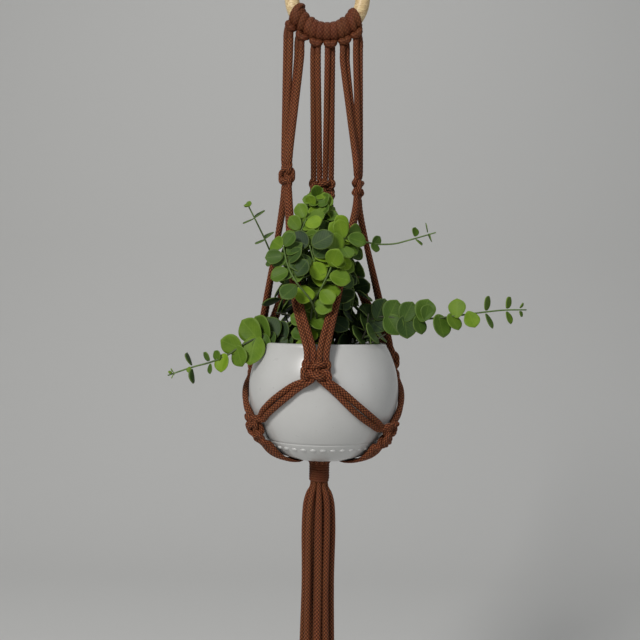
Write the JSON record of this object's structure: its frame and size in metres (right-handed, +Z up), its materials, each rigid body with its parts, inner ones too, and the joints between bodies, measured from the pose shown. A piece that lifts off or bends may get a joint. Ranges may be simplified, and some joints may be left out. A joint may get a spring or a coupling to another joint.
{
  "type": "hanging macrame planter",
  "caption": "Bowl pot with an artificial eucalyptus plant, held in a knotted cord net that hangs from a wooden ring and ends in a tassel.",
  "frame": {"origin": "the hang point, where a hook bears on the top of the hole in the wooden ring", "axes": "+Z up the hanging line, +X to the right along the ring's plane, -Y to the front knot"},
  "size_m": [0.2874, 0.1356, 0.6596],
  "materials": {
    "wood": "smooth sanded pale wood, unvarnished",
    "cord": "finely braided soft cord, slight sheen",
    "glaze": "glossy white glaze",
    "foam": "dark crumbled foam",
    "leaf": "satin moulded leaf, yellow-green to blue-green"
  },
  "bodies": {
    "ring": {"wooden_ring": "wood", "larks_head_1": "cord", "larks_head_2": "cord", "larks_head_3": "cord", "larks_head_4": "cord", "larks_head_5": "cord", "larks_head_6": "cord"},
    "cradle": {"head_pair_1": "cord", "head_pair_2": "cord", "head_pair_3": "cord", "head_pair_4": "cord", "head_pair_5": "cord", "head_pair_6": "cord", "knot_left": "cord", "knot_right": "cord", "knot_back": "cord", "knot_front": "cord", "knot_rear_left": "cord", "knot_rear_right": "cord", "knot_low_left": "cord", "knot_low_right": "cord", "knot_low_back": "cord", "arm_left_front": "cord", "arm_left_rear": "cord", "arm_right_front": "cord", "arm_right_rear": "cord", "arm_back_right": "cord", "arm_back_left": "cord", "net_left_front": "cord", "net_right_front": "cord", "net_left_rear": "cord", "net_right_rear": "cord", "net_back_right": "cord", "net_back_left": "cord", "base_left": "cord", "base_right": "cord", "base_back": "cord", "gathering_wrap": "cord"},
    "pot": {"pot": "glaze", "foam_plug": "foam", "sprig_upper_left": "leaf", "sprig_upper_right": "leaf", "sprig_lower_left": "leaf", "sprig_lower_right": "leaf", "sprig_centre": "leaf", "sprig_front": "leaf", "sprig_left": "leaf", "sprig_right": "leaf"},
    "tassel": {"tassel_strand_01": "cord", "tassel_strand_02": "cord", "tassel_strand_03": "cord", "tassel_strand_04": "cord", "tassel_strand_05": "cord", "tassel_strand_06": "cord", "tassel_strand_07": "cord", "tassel_strand_08": "cord", "tassel_strand_09": "cord", "tassel_strand_10": "cord", "tassel_strand_11": "cord", "tassel_strand_12": "cord"}
  },
  "joints": [
    {"name": "cradle_swing", "type": "hinge", "parent": "ring", "child": "cradle", "pos_m": [0, 0, -0.062], "axis": [1, 0, 0], "range_deg": [-12, 12]},
    {"name": "pot_turn", "type": "hinge", "parent": "cradle", "child": "pot", "pos_m": [0.0015, 0, -0.35], "axis": [0, 0, 1], "range_deg": [-5, 5]},
    {"name": "tassel_swing", "type": "hinge", "parent": "cradle", "child": "tassel", "pos_m": [-0.001, 0, -0.4216], "axis": [1, 0, 0], "range_deg": [-15, 15]}
  ]
}
